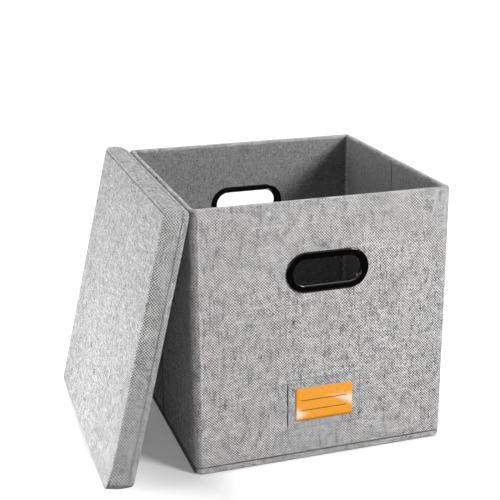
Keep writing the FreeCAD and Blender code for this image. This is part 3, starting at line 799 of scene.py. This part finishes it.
# Materials
case_linen = linen("case_linen", 0.03, 0.84, 0.37, YARN, 1.0, case_painted_shade, corner_swell)
lid_linen = linen("lid_linen", 0.03, 0.74, 0.37, YARN, 1.0, lid_painted_shade)
hem_linen = linen("hem_linen", 0.03, 0.80, 0.37, YARN, 1.0, case_painted_shade)
base_linen = linen("base_linen", 0.03, 0.70, 0.30, YARN)
lining_linen = linen("lining_linen", 0.10, 0.42, 0.18, LINING_YARN, 0.5)
sewing = sewing_thread("sewing_thread", 0.42)
board = fibreboard("fibreboard")
grip_black = gloss_black("grip_black")
pocket_low, pocket_high = corners_of("label_pocket")
pocket_wide, _, pocket_tall = (pocket_high - pocket_low).tolist()
film = clear_film("clear_film", pocket_wide, pocket_tall)
card = orange_card("card_orange", *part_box("label_card"))

# Where along the case's outline things stand: from the middle of the left side, towards the front
straight_x, straight_y = 2 * (HALF_X - CORNER_R), 2 * (HALF_Y - CORNER_R)
TURN = QUARTER * CORNER_R
HALF_WAY = straight_x + straight_y + 2 * TURN
CORNER_STARTS = straight_y / 2 + np.array([0.0, TURN + straight_x, HALF_WAY, HALF_WAY + TURN + straight_x])
FRONT_MID = straight_y / 2 + TURN + straight_x / 2
SEAM = TURN + 8.0 * MM - CORNER_R
front_span = np.array([FOLD_Y + CORNER_GAP, 2 * FRONT_MID - FOLD_Y - CORNER_GAP])
front_seams = CORNER_STARTS[:2] + np.array([SEAM, TURN - SEAM])

# Covered walls, each the outside of a body
for seed, (body, span, seams, grip_at) in enumerate((
    ("front_wall", front_span, front_seams, FRONT_MID + GRIP[0]),
    ("back_wall", front_span + HALF_WAY, front_seams + HALF_WAY, FRONT_MID + HALF_WAY - GRIP[0]),
    ("left_front", (CREASE, FOLD_Y), (), None),
    ("left_rear", (-FOLD_Y, -CREASE), (), None),
    ("right_front", (HALF_WAY - FOLD_Y, HALF_WAY - CREASE), (), None),
    ("right_rear", (HALF_WAY + CREASE, HALF_WAY + FOLD_Y), (), None),
), start=1):
    wall = body.removesuffix("_wall")
    fit(covered_wall(f"{wall}_cloth", *span, seed, seams, grip_at), body, f"{wall}_cover")

# Linings: flat sheets on the inside of each wall, short of the corners, the creases and the rim
LOW, HIGH = WALL_FOOT + 0.4 * MM, RIM - TURN_IN
IN_X, IN_Y = HALF_X - WALL, HALF_Y - WALL
ACROSS = IN_X - 1.5 * MM
CORNER_END, CREASE_END = FOLD_Y - 1.2 * MM, CREASE + 2.0 * MM
for seed, (body, start, stop, out, grip_at) in enumerate((
    ("front_wall", (-ACROSS, -IN_Y), (ACROSS, -IN_Y), (0, -1), ACROSS + GRIP[0]),
    ("back_wall", (ACROSS, IN_Y), (-ACROSS, IN_Y), (0, 1), ACROSS - GRIP[0]),
    ("left_front", (-IN_X, -CREASE_END), (-IN_X, -CORNER_END), (-1, 0), None),
    ("left_rear", (-IN_X, CORNER_END), (-IN_X, CREASE_END), (-1, 0), None),
    ("right_front", (IN_X, -CORNER_END), (IN_X, -CREASE_END), (1, 0), None),
    ("right_rear", (IN_X, CREASE_END), (IN_X, CORNER_END), (1, 0), None),
), start=11):
    wall = body.removesuffix("_wall")
    sheet = lining_sheet(f"{wall}_lining_cloth", start, stop, out, seed, grip_at)
    fit(sheet, body, f"{wall}_lining")


def bridge(name, side, y_mid, half_width, fat=0.8 * MM, depth=1.5 * MM):
    """Cloth that joins two boards over the gap between them: up the outer face, over the rim and
    down the inner face, sagging a little into the gap."""
    deep, centre = WALL - depth, (-WALL / 2, RIM - WALL / 2)
    top, step, sag_deep = RIM - 3.0 * MM, 40.0 * MM, 0.5 * MM
    heights = spaced([LOW, top], step)
    section = np.concatenate([
        paired(-depth, heights)[:-1],
        arc(centre, WALL / 2 - depth, 0.0, 2 * QUARTER, 9),
        paired(-deep, heights[::-1])[1:],
        paired(-deep + fat, heights)[:-1],
        arc(centre, WALL / 2 - depth - fat, 2 * QUARTER, 0.0, 9),
        paired(-depth - fat, heights[::-1])[1:],
    ])
    columns = spaced([0.0, 2 * half_width], half_width / 4)
    sag = sag_deep * (1 - (columns / half_width - 1) ** 2)
    lift = np.where(section[:, :1] > -WALL / 2, -1.0, 1.0) * sag

    def place(along):
        y = y_mid + (along - half_width) * side
        return paired(side * HALF_X, y), np.broadcast_to((side, 0.0), (len(along), 2))

    return carried_piece(name, case_linen, section, columns, place, np.zeros(len(columns)), lift, seed=20)


def crease_tape(end, side, fat=0.8 * MM, off=0.42 * MM, step=12.0 * MM):
    """Tape of lining glued over the crease inside, its edges thinning out."""
    low, high = corners_of(f"crease_strip_{end}")
    ys = fine_edges(high[1] - low[1], fat, fat) + low[1]
    zs = fine_edges(HIGH - LOW, fat, step) + LOW
    y, z = np.meshgrid(ys, zs)
    x = np.full(y.shape, side * (IN_X - off))
    middle = np.stack([x, y if side > 0 else y[:, ::-1], z], 2)
    return thin_sheet(f"{end}_crease_tape", lining_linen, middle, (side, 0, 0), paired(y, z), fat)


def bend(piece, node=None):
    """Hide the solid that a piece stands for, and fix the piece's place into its mesh. The piece rides
    on no body and does not bend."""
    fit(piece, node=node)
    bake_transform(piece)


# Cloth over the creases and corners, and tape behind the creases. The order of a crease's bodies
# is the one in which the cloth turns inwards when the two halves lie back to back. The front right
# corner has no joint, so its cloth stays on the front wall.
CORNER_Y = FOLD_Y + CORNER_GAP / 2
CORNER_HALF, CREASE_HALF = 2.6 * MM, 3.2 * MM
creases = (("left", -1, ("left_front", "left_rear"), 1), ("right", 1, ("right_rear", "right_front"), -1))
for end, side, halves, way in creases:
    bend(bridge(f"crease_cloth_{end}", side, 0.0, CREASE_HALF))
corner = bridge("corner_cloth_front_left", -1, -CORNER_Y, CORNER_HALF)
bend(corner, "corner_strip_front_left")
corner = bridge("corner_cloth_front_right", 1, -CORNER_Y, CORNER_HALF)
fit(corner, "front_wall", "corner_strip_front_right")
for end, side, _, _ in creases:
    corner = bridge(f"corner_cloth_back_{end}", side, CORNER_Y, CORNER_HALF)
    bend(corner, f"corner_strip_back_{end}")
for end, side, halves, way in creases:
    bend(crease_tape(end, side), f"crease_strip_{end}")

HEM_R = CORNER_R + 1.5 * MM


def hem(name):
    """A padded foot all the way round the case: the band's section is a full round outside, its
    padding rippled, and its lower part rises towards the corners."""
    padding, ripple_long, ripple_high, corner_rise = 2.4 * MM, 11.0 * MM, 0.09 * MM, 3.0 * MM
    up = np.linspace(-QUARTER, QUARTER, 13)
    bulge = padding * (np.maximum(np.cos(up), 0) ** 0.6 - 0.92)
    belly = paired(bulge, HEM_TOP / 2 + HEM_TOP / 2 * np.sin(up))
    inside = paired(HAIR - WALL, np.linspace(HEM_TOP - SOFT, SOFT, 4))
    section = np.concatenate([belly, inside])
    columns, base, normal = once_round(HALF_X, HALF_Y, HEM_R, FINE_STEP, 8)
    points = carry(section, base, normal, np.zeros(len(columns)))
    ripple = np.sin(columns * math.tau / ripple_long + 2.0 * np.sin(columns * 40.0)) * ripple_high
    ripple[-1] = ripple[0]
    turn = np.abs(normal[:, 0] * normal[:, 1]) * 2
    foot = np.clip(1 - section[:, 1] / (HEM_TOP * 0.6), 0, 1)
    points[:len(up), :, :2] += (ripple[:, None] * normal) * np.cos(up)[:, None, None]
    points[..., 2] += turn * foot[:, None] * corner_rise
    cloth = paired(columns, lengths(section)[:, None])
    return Skin().ring(points, cloth, WALL).build(name, hem_linen)


fit(hem("hem_cloth"), "back_wall", "hem_band")


def flat_pad(name, material, node, radius, seed, bare=0.0):
    """A flat sheet in the place of a node, its edge round and its top slightly uneven. The lowest
    part, bare high, is left out, so that the board within shows on the underside."""
    low, high = corners_of(node)
    low[2] += bare
    half, thick, border = (high - low)[:2] / 2, high[2] - low[2], 3.0 * MM
    rows = np.linspace(min(half), thick / 2 + border, 18)
    profile = np.concatenate([
        paired(rows, 0.0),
        arc((thick / 2, thick / 2), thick / 2, 3 * QUARTER, QUARTER, 7),
        paired(rows[::-1], thick),
    ])

    def uneven(ground, height, normal):
        top = height > thick * 0.9
        return ground, height - top * (1 + waves(ground[..., 0], ground[..., 1], seed)) * HAIR

    at = (*((low + high) / 2)[:2], low[2])
    return tray(name, material, profile, half, radius, at, np.eye(3), uneven, seed)


# Bottom: the cloth that closes it, and the lining of the loose bottom panel
BASE_R, PANEL_R, PANEL_BARE = 4.0 * MM, 3.0 * MM, 0.5 * MM
base = flat_pad("base_lining_cloth", base_linen, "base_cloth", BASE_R, 21)
fit(base, "back_wall", "base_cloth")
panel = flat_pad("panel_lining_cloth", lining_linen, "base_panel_cloth", PANEL_R, 22, PANEL_BARE)
fit(panel, "bottom_panel", "base_panel_cloth")

# Lid, as (inset, height above its rim). UNDER is the inner face, and INSIDE where the cover's cloth
# ends and the lining starts
LID_TURN = np.array([[math.sin(LEAN), 0, -math.cos(LEAN)], [0, 1, 0], [math.cos(LEAN), 0, math.sin(LEAN)]])
UNDER = LID_DEEP - LID_TOP
INSIDE = 9.0 * MM
RIM_ROUND = LID_WALL / 2
BORDER, BORDER_IN, SEAM_SIDE, SKIRT_STEP = 12.0 * MM, 11.0 * MM, 2.5 * MM, 1.3 * MM
FACE_ROWS = np.concatenate([np.linspace(min(LID_HALF), BORDER, 26),
                            np.linspace(BORDER_IN, LID_EDGE + EASE, 12)])
SKIRT = spaced([RIM_ROUND, LID_SEAM - SEAM_SIDE, LID_SEAM + SEAM_SIDE, LID_DEEP - LID_EDGE], SKIRT_STEP)


def lid_bumps(ground, height, normal):
    """Soft shape of the lid: sides that belly out between face and rim, a foot that flares where it
    stands, more at the near corner and turned in at the far one, a face that waves slowly and drops
    towards its edges, and grooves along the seams."""
    far_in, spread_high, wave_high = 2.2 * MM, 4.6 * MM, 0.35 * MM
    seam_deep, seam_wide, upright_wide = 0.5 * MM, 0.8 * MM, 1.0 * MM
    edge_drop, edge_wide, head_drop = 0.6 * MM, 7.0 * MM, 0.7 * MM
    x, y = ground[..., 0], ground[..., 1]
    along, across = x / LID_HALF[0], y / LID_HALF[1]
    high = share_of(LID_DEEP, height)
    face = high > 0.999
    inset = np.minimum(LID_HALF[0] - np.abs(x), LID_HALF[1] - np.abs(y))
    outside = np.where(height > UNDER + EASE, 1.0, share_of(RIM_ROUND, RIM_ROUND - inset))
    far = np.clip(across, 0, 1)
    head = np.clip(along, 0, 1) ** 6 * far ** 3
    foot = np.clip(-along, 0, 1) ** 6
    belly = 2.0 * normal[:, 0] ** 2 + 0.8 * normal[:, 1] ** 2 + 2.2 * head
    belly = belly * MM * np.sin(high * math.pi) * outside
    flare = foot * (high * 3.8 * outside - (1 - high) ** 3 * 0.8) * MM
    spread = spread_high * high ** 2 * outside * foot * np.clip(0.75 - 0.6 * across, 0, 1)
    drop = edge_drop * np.exp(-inset / edge_wide)
    drop = drop + head_drop * valley(LID_HALF[0] - x - HEAD_SEAM, upright_wide)
    groove = seam_deep * valley(height - LID_SEAM, seam_wide)
    skirt_seam = valley(LID_HALF[0] - SKIRT_SEAM - x, upright_wide) * np.abs(normal[:, 1])
    groove = (groove + seam_deep * skirt_seam) * outside * ((high > 0.03) & ~face)
    out = belly - groove - far_in * far ** 8 * foot * high * outside
    moved = ground + out[..., None] * normal
    moved[..., 0] -= flare
    return moved, height + face * (waves(x, y, 31) * wave_high - drop) + spread


SKIRT_IN = LID_WALL - LINING_T
cover_rows = np.concatenate([
    paired(FACE_ROWS, UNDER),
    [(SKIRT_IN + SOFT, UNDER), (SKIRT_IN, UNDER - SOFT), (SKIRT_IN, INSIDE + EASE), (LID_WALL, INSIDE)],
    arc((RIM_ROUND, RIM_ROUND), RIM_ROUND, 0.0, -2 * QUARTER, 9),
    paired(0.0, SKIRT)[1:],
    arc((LID_EDGE, LID_DEEP - LID_EDGE), LID_EDGE, 2 * QUARTER, QUARTER, 8)[1:],
    paired(FACE_ROWS[::-1], LID_DEEP),
])
lid = tray("lid_cloth", lid_linen, cover_rows, LID_HALF, LID_R, LID_AT, LID_TURN, lid_bumps, 31)
fit(lid, "lid", "lid_cover")

LINING_IN, LINING_TOP = LID_WALL - 0.85 * MM, UNDER - 0.05 * MM
BEND_IN, BEND_DOWN, BACK_IN, BACK_DOWN = 1.2 * MM, 2.0 * MM, 0.35 * MM, 0.4 * MM
FOLD_IN, FOLD_UP, FOLD_TIP = 0.4 * MM, 0.6 * MM, 0.15 * MM
lining_rows = np.concatenate([
    paired(FACE_ROWS, UNDER - LINING_T)[:-1],
    [(LID_WALL + BEND_IN, UNDER - LINING_T), (LID_WALL, UNDER - BEND_DOWN), (LID_WALL, INSIDE + FOLD_UP),
     (LID_WALL - FOLD_IN, INSIDE + FOLD_TIP), (LINING_IN, INSIDE + FOLD_UP), (LINING_IN, UNDER - BACK_DOWN),
     (LINING_IN + BACK_IN, LINING_TOP)],
    paired(FACE_ROWS[::-1], LINING_TOP),
])
lid_inside = tray("lid_lining_cloth", lining_linen, lining_rows, LID_HALF, LID_R, LID_AT, LID_TURN, None, 32)
fit(lid_inside, "lid", "lid_lining")

# Handles: an outer oval ring with a tube through the wall, and a ring that snaps on inside, as
# (radius, height off the wall). A bevel edges the flange, and a lip rolls into the tube
FLANGE = -HALF_Y - ring_low[1]
BEVEL_R, BEVEL_AT, CHAMFER, CROWN = 1.7 * MM, 0.7 * MM, 0.4 * MM, 0.25 * MM
LIP_ROLL, LIP_R, LIP_END, TUBE_START = 1.6 * MM, SLOT_R - 1.4 * MM, -1.2 * MM, -2.4 * MM
SNAP_BEVEL, SNAP_LIP, SNAP_EDGE = 0.9 * MM, 0.7 * MM, 0.2 * MM
TUBE_R, tube_end = SLOT_R + TUBE, ring_high[1] + HALF_Y
snap_low, snap_high = corners_of("handle_snap_ring_front")
SNAP_R, SNAP_HIGH = (snap_high[2] - snap_low[2]) / 2, snap_high[1] + IN_Y
crown = paired(np.linspace(FLANGE_R - BEVEL_R - CHAMFER, LIP_R + LIP_ROLL + SOFT, 8),
               FLANGE - CROWN * np.linspace(-1, 1, 8) ** 2)
ring_rows = np.concatenate([
    [(FLANGE_R - CHAMFER, 0.0), (FLANGE_R, CHAMFER)],
    arc((FLANGE_R - BEVEL_R, BEVEL_AT), BEVEL_R, 0.0, QUARTER, 9),
    crown,
    arc((LIP_R + LIP_ROLL, FLANGE - LIP_ROLL - CROWN), LIP_ROLL, QUARTER, 2 * QUARTER, 9),
    [(LIP_R + SOFT, LIP_END), (SLOT_R, TUBE_START), (SLOT_R, SOFT - tube_end), (SLOT_R + SOFT, -tube_end),
     (TUBE_R - SOFT, -tube_end), (TUBE_R, SOFT - tube_end), (TUBE_R, 0.0)],
])
snap_rows = np.concatenate([
    [(TUBE_R + HAIR, 0.0), (SNAP_R - SNAP_EDGE, 0.0), (SNAP_R, SNAP_EDGE)],
    arc((SNAP_R - SNAP_BEVEL, SNAP_HIGH - SNAP_BEVEL), SNAP_BEVEL, 0.0, QUARTER, 6),
    arc((TUBE_R + HAIR + SNAP_LIP, SNAP_HIGH - SNAP_LIP), SNAP_LIP, QUARTER, 2 * QUARTER, 5),
])
for end, out in (("front", -1), ("back", 1)):
    ring = ring_moulding(f"grip_ring_{end}", ring_rows, out * HALF_Y, out)
    fit(ring, f"{end}_wall", f"handle_ring_{end}")
    snap = ring_moulding(f"grip_snap_ring_{end}", snap_rows, out * IN_Y, -out)
    fit(snap, f"{end}_wall", f"handle_snap_ring_{end}")

# Label pocket: clear film pressed to the cloth at its sides and foot, lifted over the card
FILM_T, FILM_EDGE, FILM_STEP = 0.24 * MM, 0.6 * MM, 2.0 * MM
FILM_OFF, FILM_LIFT, FILM_WAVE = 0.2 * MM, 0.75 * MM, 0.08 * MM
PRESSED, LIFT_WIDE, WAVE_FROM, WAVE_WIDE = 2.2 * MM, 4.0 * MM, 3.0 * MM, 8.0 * MM
weld_marks = np.array([1.0, 2.5, 3.5]) * MM
film_x, film_z = np.meshgrid(fine_edges(pocket_wide, FILM_EDGE, FILM_STEP, weld_marks),
                             fine_edges(pocket_tall, FILM_EDGE, FILM_STEP, weld_marks))
near = np.minimum(from_ends(film_x, 0.0, pocket_wide), film_z)
rise = FILM_OFF + FILM_LIFT * (1 - np.cos(share_of(LIFT_WIDE, near - PRESSED) * math.pi)) / 2
rise = rise + (1 + waves(film_x * 2, film_z * 2, 41)) * FILM_WAVE * share_of(WAVE_WIDE, near - WAVE_FROM)
film_y = -HALF_Y - rise - HAIR / 2
film_middle = np.stack([film_x + pocket_low[0], film_y, film_z + pocket_low[2]], 2)
pocket = thin_sheet("pocket_film", film, film_middle, (0, -1, 0), paired(film_x, film_z), FILM_T)
fit(pocket, "front_wall", "label_pocket")

# Stitches
STITCH = 3.3 * MM
SEAM_X = HALF_X - 8.6 * MM
SEAM_FOOT, SEAM_HEAD = WALL_FOOT + 4.4 * MM, RIM - 6.0 * MM
HEM_SEAM, HEM_SEAM_IN = HEM_TOP - 1.8 * MM, 0.12 * MM


def upright_seams(out):
    """Places, directions and outward directions of stitches, evenly up both seams of a wall."""
    count = int((SEAM_HEAD - SEAM_FOOT) / STITCH)
    z = SEAM_FOOT + (SEAM_HEAD - SEAM_FOOT) * (np.arange(count) + 0.5) / count
    places = np.array([(x, out * HALF_Y, height) for x in (-SEAM_X, SEAM_X) for height in z])
    return places, *(np.broadcast_to(way, places.shape) for way in ((0, 0, 1), (0, out, 0)))


def hem_seam():
    """Places, directions and outward directions of stitches round the hem."""
    total = 4 * (HALF_X + HALF_Y - 2 * HEM_R + QUARTER * HEM_R)
    s = (np.arange(int(total / STITCH)) + 0.5) * STITCH
    plan, normal = outline(s, HALF_X, HALF_Y, HEM_R)
    level = np.zeros((len(s), 1))
    places = np.concatenate([plan - normal * HEM_SEAM_IN, level + HEM_SEAM], 1)
    runs = np.concatenate([-normal[:, 1:], normal[:, :1], level], 1)
    return places, runs, np.concatenate([normal, level], 1)


for end, out in (("front", -1), ("back", 1)):
    fit(stitches(f"{end}_stitches", *upright_seams(out)), f"{end}_wall")
fit(stitches("hem_stitches", *hem_seam()), "back_wall")

for name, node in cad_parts.items():
    node.data.materials.clear()
    node.data.materials.append(card if name == "label_card" else board)

# Floor: paper that keeps the object's shadow near it and is plain white further out. Its white is a
# glow, which also paints out the shadow in front of the case's left half and beside its right side,
# and a faint glow lifts the shadow that stays. Other rays see it darker grey, reflections near black.
FLOOR = 14.0
floor_mesh = bpy.data.meshes.new("floor")
floor_corners = [(-FLOOR, -FLOOR, 0), (FLOOR, -FLOOR, 0), (FLOOR, FLOOR, 0), (-FLOOR, FLOOR, 0)]
floor_mesh.from_pydata(floor_corners, [], [(0, 1, 2, 3)])
floor = added("floor", floor_mesh)
paper = new_paint("floor_paper")
seen = paper.node("ShaderNodeLightPath")
ground = paper.in_frame()
east, north, _ = paper.parts(ground)
away = paper.node("ShaderNodeVectorMath", {"operation": "LENGTH"}, {0: ground}, output=1)
shade = paper.mix(seen.out("Is Glossy Ray"), paper.mix(seen, grey(0.32), grey(0.97)), grey(0.02))
matt = paper.node("ShaderNodeBsdfDiffuse", inputs={"Color": shade})
glow = paper.node("ShaderNodeEmission", inputs={"Color": WHITE, "Strength": seen * 1.2})
# Painted light: in front of the case's left half and beside its right side the floor glows white over the
# shadows
before = 1.0 - paper.step(north, -HALF_Y - 8.0 * MM, -HALF_Y + 4.0 * MM)
before = before * paper.step(east, -HALF_X, -0.5 * HALF_X)
beside = paper.step(east, HALF_X - 3.0 * MM, HALF_X + 12.0 * MM)
white = paper.step(away, 0.235, 0.36).math("MAXIMUM", before.math("MAXIMUM", beside))
mixed = paper.node("ShaderNodeMixShader", inputs={0: (white * 0.87 + 0.13) * seen, 1: matt, 2: glow})
paper.node("ShaderNodeOutputMaterial", inputs={"Surface": mixed})
floor_mesh.materials.append(paper.host)


def soft_light(name, place, target, size, power):
    """A square soft light at a place, turned to a target."""
    lamp = bpy.data.lights.new(name, "AREA")
    lamp.size = size
    lamp.energy = power
    made = added(name, lamp)
    made.location = place
    x, y, z = np.array(target) - np.array(place)
    made.rotation_euler = (QUARTER + math.atan2(z, math.hypot(x, y)), 0, math.atan2(-x, y))


soft_light("left_key", (-2.1, 0.2, 0.8), (-0.2, 0, 0.15), 1.0, 20)
soft_light("left_low", (-0.80, 0.0, 0.08), (-0.27, 0, 0.06), 0.22, 4.2)
soft_light("left_front", (-0.8, -2.2, 0.35), (-0.05, -0.1, 0.2), 0.3, 4.8)
soft_light("right_front", (1.42, -2.05, 1.3), (0, 0, 0.15), 0.6, 69)
soft_light("top_back", (0.3, 0.9, 2.2), (0, 0, 0.2), 1.2, 30)

air = Paint(bpy.data.worlds.new("studio"))
bpy.context.scene.world = air.host
camera_ray = air.node("ShaderNodeLightPath")
strength = (camera_ray + camera_ray.out("Is Glossy Ray") * 0.8).math("MINIMUM", 1.0) * 0.86 + 0.14
sky = air.node("ShaderNodeBackground", inputs={"Color": WHITE, "Strength": strength})
air.node("ShaderNodeOutputWorld", inputs={"Surface": sky})

# Camera at the photograph's place
FOCAL_PX, IMAGE_PX, CENTRE_PX = 1124.8, 500.0, 276.1
camera_data = bpy.data.cameras.new("camera")
camera_data.sensor_width = 36.0
camera_data.lens = FOCAL_PX / IMAGE_PX * camera_data.sensor_width
camera_data.shift_x = (IMAGE_PX / 2 - CENTRE_PX) / IMAGE_PX
camera = added("camera", camera_data)
camera.location = (-0.4793, -1.3698, 0.6964)
camera.rotation_euler = (math.radians(90 - 17.94), 0, math.radians(-19.10))
bpy.context.scene.camera = camera
bpy.context.scene.view_settings.view_transform = "Standard"
